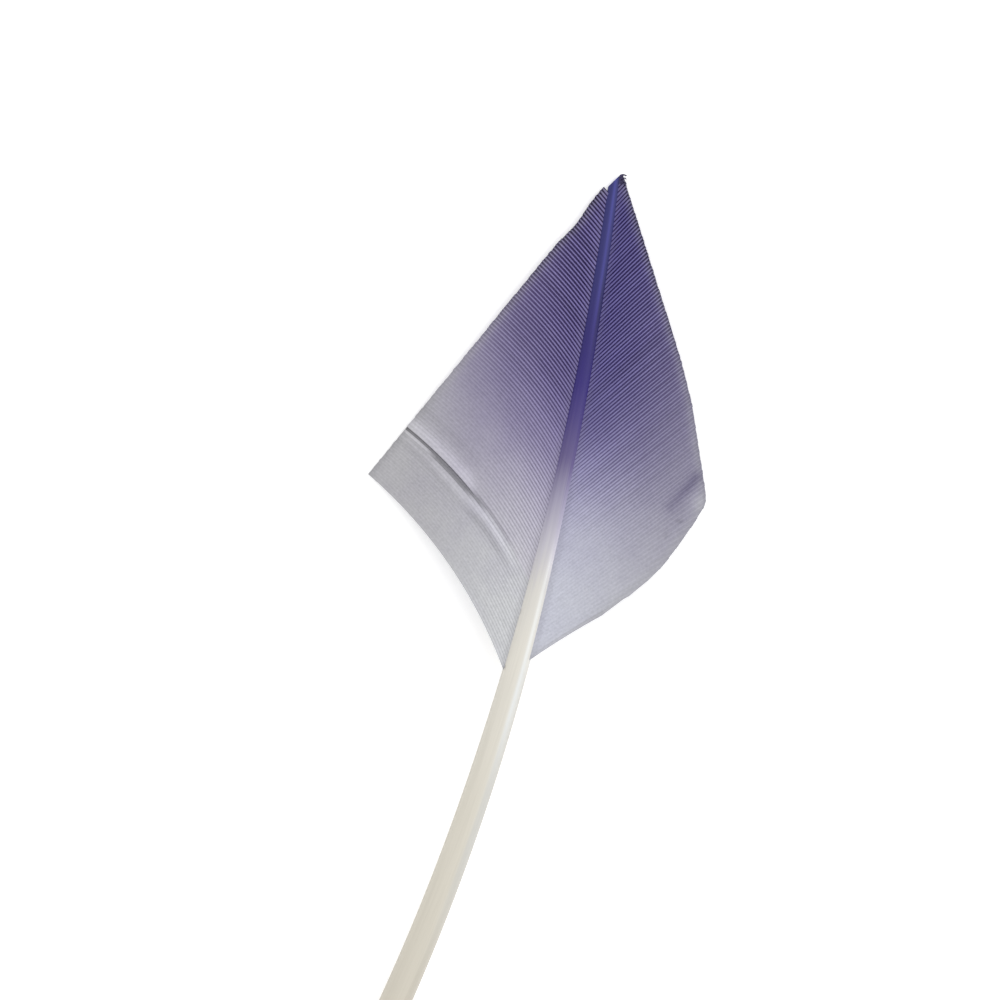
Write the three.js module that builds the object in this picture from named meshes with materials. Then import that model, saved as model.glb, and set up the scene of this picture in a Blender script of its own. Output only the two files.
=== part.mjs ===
// A dyed turkey wing quill, trimmed to an arrowhead vane and stripped bare below it.
//
// The feather lies on a flat surface with its upper face up. Millimetres, +Z up.
// The straight line from the quill's end to the feather's tip runs along +Y.
// Distances called "down the shaft" are measured along the shaft, from the tip to the quill's end.

import * as THREE from 'three';

// Shaft: length and sideways bend

const SHAFT_LENGTH = 287;
const TIP_HEADING = -14.01; // degrees from +Y at the tip, negative to the left
const BEND_AT_TIP = 0.065; // degrees turned per millimetre
const STRONGEST_BEND = 0.1465;
const STRONGEST_BEND_AT = 145;
const BEND_ENDS_AT = 240; // the quill is straight from here to its end

// Shaft: section at a few stations down the shaft

const SHAFT_STATIONS = [
  { at: 0, width: 1.9, depth: 1.1 },
  { at: 25, width: 2.55, depth: 2.1 },
  { at: 57, width: 3.3, depth: 3.2 },
  { at: 84, width: 4.2, depth: 4.2 },
  { at: 104, width: 4.8, depth: 4.8 },
  { at: 145, width: 5.4, depth: 5.4 },
  { at: 210, width: 6.2, depth: 6.0 },
  { at: 250, width: 5.9, depth: 5.7 },
  { at: 272, width: 4.7, depth: 4.6 },
  { at: 287, width: 3.7, depth: 3.7 },
];
const SECTION_SQUARENESS = 2.4; // superellipse exponent, 2 is an ellipse
const TIP_SLANT = 2.4; // the left side of the tip is cut back by this much
const TIP_SLANT_REACH = 5;
const END_ROUNDING = 5; // the quill's end closes over this length
const END_CLOSING = 0.85; // how far it closes, as a share of the section's area
const SHAFT_SIDES = 16;
const SHAFT_STEPS = 72;

// Arch: the shaft's underside stands off the surface between the tip and the flat at its end

const ARCH_HEIGHT = 4.5;
const ARCH_PEAK = 4 / 27; // the greatest value of share * (1 - share) ** 2
const FLAT_STARTS_AT = 262;

// Barbs: the angle at which they leave the shaft, in degrees, and the degrees per millimetre
// by which they curl outward, each at the tip and its change per millimetre down the shaft.
// The last ones curl out by endCurl more for each square millimetre past endCurlFrom

const LEFT = {
  side: -1,
  angleAtTip: 48.5,
  angleChange: -0.135,
  curlAtTip: 0.95,
  curlChange: -0.003,
  endCurl: 0,
  endCurlFrom: 74,
};
const RIGHT = {
  side: 1,
  angleAtTip: 35,
  angleChange: 0.055,
  curlAtTip: 0.25,
  curlChange: -0.0035,
  endCurl: 0.0025,
  endCurlFrom: 74,
};

// Trimming: straight cuts, each through two points of the flat outline, with the tip at 0, 0

const LEFT_CORNER = [-21.2, -66];
const RIGHT_CORNER = [36.97, -48.51];
LEFT.cuts = [
  [[-1.05, -2.55], LEFT_CORNER],
];
RIGHT.cuts = [
  [[3.05, -1.65], [23.39, -26.63]],
  [[23.39, -26.63], [28.0, -33.05]],
  [[28.0, -33.05], [35.84, -46.27]],
  [[35.84, -46.27], RIGHT_CORNER],
  [RIGHT_CORNER, [36.34, -52.72]],
  [[36.34, -52.72], [35.2, -57.48]],
  [[35.2, -57.48], [33.91, -61.92]],
  [[33.91, -61.92], [32.41, -65.44]],
  [[32.41, -65.44], [30.53, -68.68]],
  [[30.53, -68.68], [26.72, -74.56]],
];
LEFT.corner = LEFT_CORNER;
RIGHT.corner = RIGHT_CORNER;

// Vanes: where along the shaft each one is rooted, and the sheet that stands for its barbs

const VANE_START = 2.6;
const SPLIT_AT = 73.9;
const BROAD_VANE_END = 90.3;
const NARROW_VANE_END = 87.4;
const CLEARANCE = 0.3; // between neighbouring pieces
const VANE_LEVEL = 0.75; // height of the barb roots as a share of the shaft's depth
const ROOT_THICKNESS = 0.55;
const EDGE_THICKNESS = 0.4;
const CAMBER_POWER = 1.5;
const STEPS_ALONG_BARB = 10;

const STEP = 0.5; // spacing of the points that curves are worked out on
const radians = THREE.MathUtils.degToRad;

/** Degrees that the shaft has turned at a distance down the shaft. */
function turnedBy(at) {
  const tightening = (STRONGEST_BEND - BEND_AT_TIP) / (2 * STRONGEST_BEND_AT);
  if (at <= STRONGEST_BEND_AT) return BEND_AT_TIP * at + tightening * at * at;
  const past = Math.min(at, BEND_ENDS_AT) - STRONGEST_BEND_AT;
  const easing = STRONGEST_BEND / (2 * (BEND_ENDS_AT - STRONGEST_BEND_AT));
  return turnedBy(STRONGEST_BEND_AT) + STRONGEST_BEND * past - easing * past * past;
}

/** Angle from +X of the shaft's direction towards the tip, in radians. */
function headingAt(at) {
  return radians(90 - TIP_HEADING - turnedBy(at));
}

/** Points of the shaft's middle line, STEP apart, from the tip down. */
function traceSpine() {
  const points = [new THREE.Vector2(0, 0)];
  for (let at = STEP / 2; at < SHAFT_LENGTH; at += STEP) {
    const heading = headingAt(at);
    const last = points[points.length - 1];
    points.push(new THREE.Vector2(last.x - STEP * Math.cos(heading), last.y - STEP * Math.sin(heading)));
  }
  return points;
}

const spine = traceSpine();

/** Point of a polyline with points STEP apart, at a distance from its start. */
function pointAlong(points, distance) {
  const index = THREE.MathUtils.clamp(Math.floor(distance / STEP), 0, points.length - 2);
  return points[index].clone().lerp(points[index + 1], distance / STEP - index);
}

/** Width and depth of the shaft, by smooth curves through the stations. */
function sectionAt(at) {
  const stations = SHAFT_STATIONS;
  const next = stations.findIndex((station, index) => index > 0 && at <= station.at);
  const b = stations[next];
  const a = stations[next - 1];
  const before = stations[Math.max(next - 2, 0)];
  const after = stations[Math.min(next + 1, stations.length - 1)];
  const span = b.at - a.at;
  const t = (at - a.at) / span;
  const curve = (key) => {
    const slopeA = (b[key] - before[key]) / (b.at - before.at);
    const slopeB = (after[key] - a[key]) / (after.at - a.at);
    return a[key] * (2 * t ** 3 - 3 * t ** 2 + 1) + b[key] * (3 * t ** 2 - 2 * t ** 3)
      + span * (slopeA * (t ** 3 - 2 * t ** 2 + t) + slopeB * (t ** 3 - t ** 2));
  };
  return { width: curve('width'), depth: curve('depth') };
}

/** Height of the shaft's underside above the surface. */
function liftAt(at) {
  const share = Math.min(at / FLAT_STARTS_AT, 1);
  return (ARCH_HEIGHT / ARCH_PEAK) * share * (1 - share) ** 2;
}

/** Height of the barb roots above the surface. */
function levelAt(at) {
  return liftAt(at) + VANE_LEVEL * sectionAt(at).depth;
}

/** Half of the shaft's width at the height of the barb roots. */
function flankAt(at) {
  const height = 2 * VANE_LEVEL - 1;
  return (sectionAt(at).width / 2) * (1 - height ** SECTION_SQUARENESS) ** (1 / SECTION_SQUARENESS);
}

/** The bare shaft, with a slanted tip, a flat to rest on and a rounded end. */
function shaftGeometry() {
  const facetOffset = Math.PI / SHAFT_SIDES;
  const geometry = new THREE.CylinderGeometry(1, 1, 1, SHAFT_SIDES, SHAFT_STEPS, false, facetOffset);
  const position = geometry.attributes.position;
  const power = 2 / SECTION_SQUARENESS;
  const bottom = Math.cos(facetOffset) ** power;
  const roundingStart = SHAFT_LENGTH - END_ROUNDING;
  for (let i = 0; i < position.count; i += 1) {
    const isCentre = Math.hypot(position.getX(i), position.getZ(i)) < 0.5;
    const angle = Math.atan2(position.getX(i), position.getZ(i));
    const across = isCentre ? 0 : Math.sign(Math.sin(angle)) * Math.abs(Math.sin(angle)) ** power;
    const up = isCentre ? 0 : (Math.sign(Math.cos(angle)) * Math.abs(Math.cos(angle)) ** power) / bottom;
    const at = (0.5 - position.getY(i)) * SHAFT_LENGTH;
    const { width, depth } = sectionAt(at);
    const pastRounding = Math.max(at - roundingStart, 0) / END_ROUNDING;
    const closing = Math.sqrt(1 - END_CLOSING * pastRounding ** 2);
    const slant = TIP_SLANT * ((1 - across) / 2) * Math.max(1 - at / TIP_SLANT_REACH, 0);
    const centre = pointAlong(spine, at + slant);
    const heading = headingAt(at);
    const sideways = across * closing * (width / 2);
    const height = liftAt(at) + (depth / 2) * (1 + up * closing);
    position.setXYZ(
      i,
      centre.x + sideways * Math.sin(heading),
      centre.y - sideways * Math.cos(heading),
      height,
    );
  }
  geometry.computeVertexNormals();
  return geometry;
}

/** How far a point lies inside a straight cut, negative once it is cut away. */
function insideCut(point, [from, to], side) {
  const along = new THREE.Vector2(to[0] - from[0], to[1] - from[1]).normalize();
  return -side * (along.x * (point.y - from[1]) - along.y * (point.x - from[0]));
}

/** Points of one barb, STEP apart, from the shaft to the first cut that it meets. */
function traceBarb(vane, at) {
  const heading = headingAt(at);
  const rootAngle = vane.angleAtTip + vane.angleChange * at;
  const pastCurlStart = Math.max(at - vane.endCurlFrom, 0);
  const curl = vane.curlAtTip + vane.curlChange * at + vane.endCurl * pastCurlStart ** 2;
  const offset = flankAt(at) + CLEARANCE;
  const centre = pointAlong(spine, at);
  const points = [new THREE.Vector2(
    centre.x + vane.side * offset * Math.sin(heading),
    centre.y - vane.side * offset * Math.cos(heading),
  )];
  const isInside = (point) => vane.cuts.every((cut) => insideCut(point, cut, vane.side) > 0);
  for (let reach = STEP / 2; isInside(points[points.length - 1]); reach += STEP) {
    const angle = heading - vane.side * radians(rootAngle + curl * reach);
    const last = points[points.length - 1];
    points.push(new THREE.Vector2(last.x + STEP * Math.cos(angle), last.y + STEP * Math.sin(angle)));
  }
  const end = points.pop();
  const last = points[points.length - 1];
  const shares = vane.cuts.map((cut) => {
    const before = insideCut(last, cut, vane.side);
    const after = insideCut(end, cut, vane.side);
    return after > 0 ? 1 : before / (before - after);
  });
  points.push(last.clone().lerp(end, Math.min(...shares)));
  return { points, length: STEP * (points.length - 2 + Math.min(...shares)) };
}

/** Nearest place on the shaft: its distance down the shaft and the distance from it. */
function footOf(point) {
  let nearest = 0;
  for (let i = 1; i < spine.length; i += 1) {
    if (spine[i].distanceToSquared(point) < spine[nearest].distanceToSquared(point)) nearest = i;
  }
  return { at: nearest * STEP, distance: spine[nearest].distanceTo(point) };
}

/** Height of a vane's middle layer: it droops from the shaft until its corner lies on the surface. */
function vaneHeight(vane, point) {
  const corner = footOf(new THREE.Vector2(...vane.corner));
  const droop = (levelAt(corner.at) - EDGE_THICKNESS / 2) / corner.distance ** CAMBER_POWER;
  const foot = footOf(point);
  const height = levelAt(foot.at) - droop * foot.distance ** CAMBER_POWER;
  return Math.max(height, EDGE_THICKNESS / 2);
}

/** A thin sheet over the barbs rooted between two places on one side of the shaft. */
function vaneGeometry(vane, from, to, steps) {
  const geometry = new THREE.BoxGeometry(1, 1, 1, steps, STEPS_ALONG_BARB, 1);
  const position = geometry.attributes.position;
  const barbs = [];
  for (let i = 0; i <= steps; i += 1) {
    barbs.push(traceBarb(vane, from + ((to - from) * i) / steps));
  }
  for (let i = 0; i < position.count; i += 1) {
    const row = Math.round((0.5 + vane.side * position.getX(i)) * steps);
    const share = 0.5 + position.getY(i);
    const barb = barbs[row];
    const point = pointAlong(barb.points, 0);
    if (share > 0) {
      const distance = share * barb.length;
      const index = Math.min(Math.floor(distance / STEP), barb.points.length - 2);
      const isLast = index === barb.points.length - 2;
      const segment = isLast ? barb.length - index * STEP : STEP;
      point.copy(barb.points[index]).lerp(barb.points[index + 1], (distance - index * STEP) / segment);
    }
    const thickness = THREE.MathUtils.lerp(ROOT_THICKNESS, EDGE_THICKNESS, share);
    position.setXYZ(i, point.x, point.y, vaneHeight(vane, point) + position.getZ(i) * thickness);
  }
  geometry.computeVertexNormals();
  return geometry;
}

/** One named piece of the feather. */
function piece(name, geometry, color, roughness) {
  const material = new THREE.MeshStandardMaterial({ color, roughness, metalness: 0 });
  const mesh = new THREE.Mesh(geometry, material);
  mesh.name = name;
  return mesh;
}

const splitGap = CLEARANCE / Math.sin(radians(LEFT.angleAtTip + LEFT.angleChange * SPLIT_AT));

const feather = new THREE.Group();
feather.add(piece('quill_shaft', shaftGeometry(), 0xdcd6c8, 0.45));
feather.add(piece('broad_vane_upper', vaneGeometry(LEFT, VANE_START, SPLIT_AT, 36), 0x77718f, 0.8));
feather.add(piece('broad_vane_lower', vaneGeometry(LEFT, SPLIT_AT + splitGap, BROAD_VANE_END, 8), 0xb9bac0, 0.8));
feather.add(piece('narrow_vane', vaneGeometry(RIGHT, VANE_START, NARROW_VANE_END, 40), 0x7a7493, 0.8));

// The origin is under the middle of the feather's bounding box, on the surface it lies on

const bounds = new THREE.Box3().setFromObject(feather);
const middle = bounds.getCenter(new THREE.Vector3());
feather.position.set(-middle.x, -middle.y, -bounds.min.z);

const model = new THREE.Group();
model.add(feather);

export default model;
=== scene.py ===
"""Looks of a turkey quill feather: trimmed to a point, dyed towards its tip and stripped lower down.

The feather lies on a pale table and the camera looks straight down on it. All sizes are in
millimetres, measured from the shaft's tip as in the CAD part, and turned to metres for the meshes.
"""

import logging
import math
from dataclasses import dataclass, field
from enum import Enum
from typing import Any

import bpy
import numpy as np
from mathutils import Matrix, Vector


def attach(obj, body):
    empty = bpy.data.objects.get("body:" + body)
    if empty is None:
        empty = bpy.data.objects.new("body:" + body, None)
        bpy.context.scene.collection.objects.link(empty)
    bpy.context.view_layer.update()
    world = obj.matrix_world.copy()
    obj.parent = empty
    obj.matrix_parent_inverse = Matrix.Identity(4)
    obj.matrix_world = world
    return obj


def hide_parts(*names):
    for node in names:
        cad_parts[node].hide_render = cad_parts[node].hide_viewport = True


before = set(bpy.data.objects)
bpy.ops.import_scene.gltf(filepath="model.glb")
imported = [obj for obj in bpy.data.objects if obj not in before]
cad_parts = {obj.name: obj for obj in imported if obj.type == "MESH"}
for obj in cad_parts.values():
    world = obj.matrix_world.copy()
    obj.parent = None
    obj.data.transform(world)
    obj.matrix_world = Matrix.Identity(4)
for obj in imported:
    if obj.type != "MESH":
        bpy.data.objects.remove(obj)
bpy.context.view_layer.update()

log = logging.getLogger("feather")

MM = 0.001
BAKE_MAP = "OFBake"

# Place of the shaft's tip in the row's frame, where the CAD part puts it, in millimetres
TIP_PLACE = (-7.7371, 142.1050, 0.0)

Array = np.ndarray


def smooth(value: Array, start: float, end: float) -> Array:
    """Smooth step of value, from 0 at start to 1 at end."""
    share = np.clip((np.asarray(value, dtype=float) - start) / (end - start), 0.0, 1.0)
    return share * share * (3.0 - 2.0 * share)


def bell(value: Array, middle: float, width: float) -> Array:
    """Soft bump of height 1 round middle."""
    return np.exp(-(((np.asarray(value, dtype=float) - middle) / width) ** 2))


def linear(code: str) -> tuple[float, float, float, float]:
    """Turns an sRGB hex colour to linear RGBA.

    Args:
        code: Six hex digits after a hash sign.

    Returns:
        The linear colour with alpha 1.
    """
    parts = [int(code[i : i + 2], 16) / 255 for i in (1, 3, 5)]
    curved = [p / 12.92 if p <= 0.04045 else ((p + 0.055) / 1.055) ** 2.4 for p in parts]
    return (curved[0], curved[1], curved[2], 1.0)


def add_node(
    tree: bpy.types.NodeTree,
    kind: str,
    settings: dict[str, Any] | None = None,
    inputs: dict[int | str, Any] | None = None,
) -> bpy.types.Node:
    """Adds a shader node.

    Args:
        tree: The tree to add it to.
        kind: The node's type name.
        settings: Properties to set on it.
        inputs: Sockets by name or number, each with a value or with the socket that feeds it.

    Returns:
        The new node.
    """
    node = tree.nodes.new(kind)
    for name, value in (settings or {}).items():
        setattr(node, name, value)
    for socket, value in (inputs or {}).items():
        if isinstance(value, bpy.types.NodeSocket):
            tree.links.new(value, node.inputs[socket])
        else:
            node.inputs[socket].default_value = value
    return node


def fill_ramp(node: bpy.types.Node, stops: list[tuple[float, tuple[float, ...]]]) -> None:
    """Gives a colour ramp node its stops.

    Args:
        node: The colour ramp node.
        stops: Place and linear colour of each stop, in rising order.
    """
    elements = node.color_ramp.elements
    while len(elements) < len(stops):
        elements.new(1.0)
    for element, (place, colour) in zip(elements, stops):
        element.position = place
        element.color = colour


def mesh_object(
    name: str,
    vertices: Array,
    faces: list[tuple[int, ...]],
    materials: list[bpy.types.Material],
    material_of_face: Array,
    attributes: dict[str, Array],
    sharp_degrees: float,
) -> bpy.types.Object:
    """Makes a smooth-shaded object from numbers in millimetres.

    Args:
        name: The object's name.
        vertices: One row of x, y and z for each vertex, in the row's frame.
        faces: Vertex numbers of each face.
        materials: The material slots.
        material_of_face: The slot number of each face.
        attributes: One number for each vertex, by attribute name.
        sharp_degrees: Edges that turn by more than this stay sharp.

    Returns:
        The new object, linked to the scene.
    """
    mesh = bpy.data.meshes.new(name)
    mesh.from_pydata((vertices * MM).tolist(), [], faces)
    for material in materials:
        mesh.materials.append(material)
    mesh.polygons.foreach_set("material_index", material_of_face.astype(np.int32))
    mesh.polygons.foreach_set("use_smooth", np.ones(len(faces), dtype=bool))
    for key, values in attributes.items():
        layer = mesh.attributes.new(key, "FLOAT", "POINT")
        layer.data.foreach_set("value", values.astype(np.float32))
    mesh.update()
    mesh.set_sharp_from_angle(angle=math.radians(sharp_degrees))
    made = bpy.data.objects.new(name, mesh)
    bpy.context.scene.collection.objects.link(made)
    return made


class Side(Enum):
    """The two sides of the shaft, by the sign of the distance across it."""

    BROAD = -1
    NARROW = 1


class Tissue(Enum):
    """The two kinds of tissue in a barb, by material slot."""

    RAMUS = 0
    WEB = 1


@dataclass
class Spine:
    """The shaft's middle line in plan, with the shaft's size and height along it."""

    length: float = 287.0
    tip_heading: float = 104.01
    bend_at_tip: float = 0.065
    strongest_bend: float = 0.1465
    strongest_bend_at: float = 145.0
    bend_ends_at: float = 240.0
    arch_height: float = 4.5
    flat_starts_at: float = 262.0
    stations_at: tuple[float, ...] = (0, 25, 57, 84, 104, 145, 210, 250, 272, 287)
    widths: tuple[float, ...] = (1.9, 2.55, 3.3, 4.2, 4.8, 5.4, 6.2, 5.9, 4.7, 3.7)
    depths: tuple[float, ...] = (1.1, 2.1, 3.2, 4.2, 4.8, 5.4, 6.0, 5.7, 4.6, 3.7)
    squareness: float = 2.4
    barb_level: float = 0.75
    step: float = 0.25
    points: Array = field(init=False, repr=False)
    places: Array = field(init=False, repr=False)

    def __post_init__(self) -> None:
        """Traces the line from the tip down."""
        self.places = np.arange(0.0, self.length + self.step / 2, self.step)
        heading = self.heading(self.places[:-1] + self.step / 2)
        moves = -self.step * np.column_stack((np.cos(heading), np.sin(heading)))
        self.points = np.vstack((np.zeros((1, 2)), np.cumsum(moves, axis=0)))

    def heading(self, at: Array) -> Array:
        """Direction towards the tip, in radians from +X, at a distance from the tip."""
        at = np.asarray(at, dtype=float)
        near = np.minimum(at, self.strongest_bend_at)
        rise = (self.strongest_bend - self.bend_at_tip) / (2 * self.strongest_bend_at)
        past = np.clip(at, self.strongest_bend_at, self.bend_ends_at) - self.strongest_bend_at
        easing = self.strongest_bend / (2 * (self.bend_ends_at - self.strongest_bend_at))
        turned = self.bend_at_tip * near + rise * near**2
        turned = turned + self.strongest_bend * past - easing * past**2
        return np.radians(self.tip_heading - turned)

    def point(self, at: Array) -> Array:
        """Points on the middle line, one row each."""
        x = np.interp(at, self.places, self.points[:, 0])
        y = np.interp(at, self.places, self.points[:, 1])
        return np.stack((x, y), axis=-1)

    def across(self, at: Array) -> Array:
        """Unit vectors to the narrow vane's side, one row each."""
        heading = self.heading(at)
        return np.stack((np.sin(heading), -np.cos(heading)), axis=-1)

    def size(self, at: Array, values: tuple[float, ...]) -> Array:
        """Smooth curve through one value for each station.

        Args:
            at: Distances from the tip.
            values: The widths or the depths.

        Returns:
            The value at each distance.
        """
        x = np.array(self.stations_at, dtype=float)
        y = np.array(values)
        before = np.maximum(np.arange(len(x)) - 1, 0)
        after = np.minimum(np.arange(len(x)) + 1, len(x) - 1)
        slope = (y[after] - y[before]) / (x[after] - x[before])
        i = np.clip(np.searchsorted(x, at, side="right") - 1, 0, len(x) - 2)
        span = x[i + 1] - x[i]
        t = (np.asarray(at, dtype=float) - x[i]) / span
        value = y[i] * (2 * t**3 - 3 * t**2 + 1) + y[i + 1] * (3 * t**2 - 2 * t**3)
        bend = slope[i] * (t**3 - 2 * t**2 + t) + slope[i + 1] * (t**3 - t**2)
        return value + span * bend

    def lift(self, at: Array) -> Array:
        """Height of the shaft's underside above the table."""
        share = np.minimum(np.asarray(at, dtype=float) / self.flat_starts_at, 1.0)
        peak_share = 4 / 27
        return self.arch_height / peak_share * share * (1 - share) ** 2

    def vane_level(self, at: Array) -> Array:
        """Height of the barb roots above the table."""
        return self.lift(at) + self.barb_level * self.size(at, self.depths)

    def flank(self, at: Array) -> Array:
        """Half of the shaft's width at the height of the barb roots."""
        height = 2 * self.barb_level - 1
        narrowing = (1 - height**self.squareness) ** (1 / self.squareness)
        return self.size(at, self.widths) / 2 * narrowing

    def foot(self, points: Array) -> tuple[Array, Array]:
        """Nearest place on the middle line of each point.

        Args:
            points: One row of x and y for each point.

        Returns:
            The distance of that place from the tip, and the point's distance from the line.
        """
        at = np.empty(len(points))
        away = np.empty(len(points))
        for start in range(0, len(points), 2000):
            part = points[start : start + 2000]
            squares = ((part[:, None, :] - self.points[None, :, :]) ** 2).sum(axis=2)
            nearest = squares.argmin(axis=1)
            heading = self.heading(self.places[nearest])
            gap = part - self.points[nearest]
            past = -(gap[:, 0] * np.cos(heading) + gap[:, 1] * np.sin(heading))
            at[start : start + 2000] = self.places[nearest] + past
            away[start : start + 2000] = np.sqrt(squares.min(axis=1))
        return np.maximum(at, 0.0), away


@dataclass(frozen=True)
class Cut:
    """A straight cut by the blade that shaped the vane."""

    start: tuple[float, float]
    end: tuple[float, float]

    def inside(self, points: Array, side: Side) -> Array:
        """How far points lie inside the cut, negative where it takes them off."""
        along = np.array(self.end) - np.array(self.start)
        along = along / np.linalg.norm(along)
        gap = points - np.array(self.start)
        return -side.value * (along[0] * gap[..., 1] - along[1] * gap[..., 0])

    def inward(self, side: Side) -> Array:
        """Unit vector from the cut into the vane."""
        along = np.array(self.end) - np.array(self.start)
        along = along / np.linalg.norm(along)
        return side.value * np.array((along[1], -along[0]))


@dataclass(frozen=True)
class BarbLaw:
    """How the barbs of one side grow and where they are cut."""

    side: Side
    angle: float
    angle_change: float
    curl: float
    curl_change: float
    pitch: float
    pitch_change: float
    least_pitch: float
    fan: float
    end_curl: float
    end_curl_from: float
    corner: tuple[float, float]
    cuts: tuple[Cut, ...]
    notch: tuple[float, float, float] = (0.0, 1.0, 0.0)


SPLIT_AT = 74.2
BROAD_CORNER = (-21.2, -66.0)
NARROW_CORNER = (36.97, -48.51)

BROAD_LAW = BarbLaw(
    side=Side.BROAD,
    angle=48.5,
    angle_change=-0.135,
    curl=0.95,
    curl_change=-0.003,
    pitch=0.81,
    pitch_change=-0.0004,
    least_pitch=0.70,
    fan=1.3,
    end_curl=0.0,
    end_curl_from=74.0,
    corner=BROAD_CORNER,
    cuts=(Cut((-1.05, -2.55), BROAD_CORNER),),
    notch=(-11.0, 3.2, 0.45),
)

NARROW_LAW = BarbLaw(
    side=Side.NARROW,
    angle=35.0,
    angle_change=0.055,
    curl=0.25,
    curl_change=-0.0035,
    pitch=0.897,
    pitch_change=-0.0018,
    least_pitch=0.79,
    fan=0.0,
    end_curl=0.0025,
    end_curl_from=74.0,
    corner=NARROW_CORNER,
    cuts=(
        Cut((3.05, -1.65), (23.39, -26.63)),
        Cut((23.39, -26.63), (28.0, -33.05)),
        Cut((28.0, -33.05), (35.84, -46.27)),
        Cut((35.84, -46.27), NARROW_CORNER),
        Cut(NARROW_CORNER, (36.34, -52.72)),
        Cut((36.34, -52.72), (35.2, -57.48)),
        Cut((35.2, -57.48), (33.91, -61.92)),
        Cut((33.91, -61.92), (32.41, -65.44)),
        Cut((32.41, -65.44), (30.53, -68.68)),
        Cut((30.53, -68.68), (26.72, -74.56)),
    ),
)


@dataclass(frozen=True)
class Dye:
    """How strongly one side took the dye, by distance from the tip and from the shaft."""

    full: float
    front_at: float
    front_softness: float
    shift: float
    shift_power: float
    reach: float
    fade: float
    relief_at: tuple[float, ...]
    relief_levels: tuple[float, ...]
    flat_from: float
    flat_to: float
    flat_shift: float
    flattening: float

    def strength(self, at: Array, away: Array) -> Array:
        """Layers of dye at places in a vane."""
        front = self.front_at + self.shift * away**self.shift_power
        kept = 1 - (away / self.reach) ** self.fade
        return self.full * np.clip(kept, 0.02, 1) / (1 + np.exp((at - front) / self.front_softness))

    def relief(self, at: Array, away: Array) -> Array:
        """How strongly the barbs stand out: most at the tip and near the shaft."""
        along = np.interp(at, self.relief_at, self.relief_levels)
        inward = self.flat_shift * smooth(at, 32.0, 50.0)
        start, end = self.flat_from - 0.15 * inward, self.flat_to - inward
        share = smooth((away - start) / (end - start), 0.0, 1.0)
        return along * (1 - self.flattening * share)


BROAD_DYE = Dye(
    full=0.98,
    front_at=54.6,
    front_softness=7.3,
    shift=-1.75,
    shift_power=0.5,
    reach=29.0,
    fade=1.4,
    relief_at=(20, 32, 40, 48, 56, 64, 72, 90),
    relief_levels=(1, 0.84, 0.68, 0.48, 0.37, 0.27, 0.16, 0.14),
    flat_from=0.0,
    flat_to=27.0,
    flat_shift=10.0,
    flattening=0.94,
)

NARROW_DYE = Dye(
    full=1.23,
    front_at=51.5,
    front_softness=7.0,
    shift=0.010,
    shift_power=2.0,
    reach=34.5,
    fade=1.0,
    relief_at=(16, 32, 40, 48, 56, 60, 66, 90),
    relief_levels=(0.86, 0.78, 0.62, 0.46, 0.30, 0.16, 0.03, 0.0),
    flat_from=6.0,
    flat_to=26.0,
    flat_shift=2.0,
    flattening=0.85,
)


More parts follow.
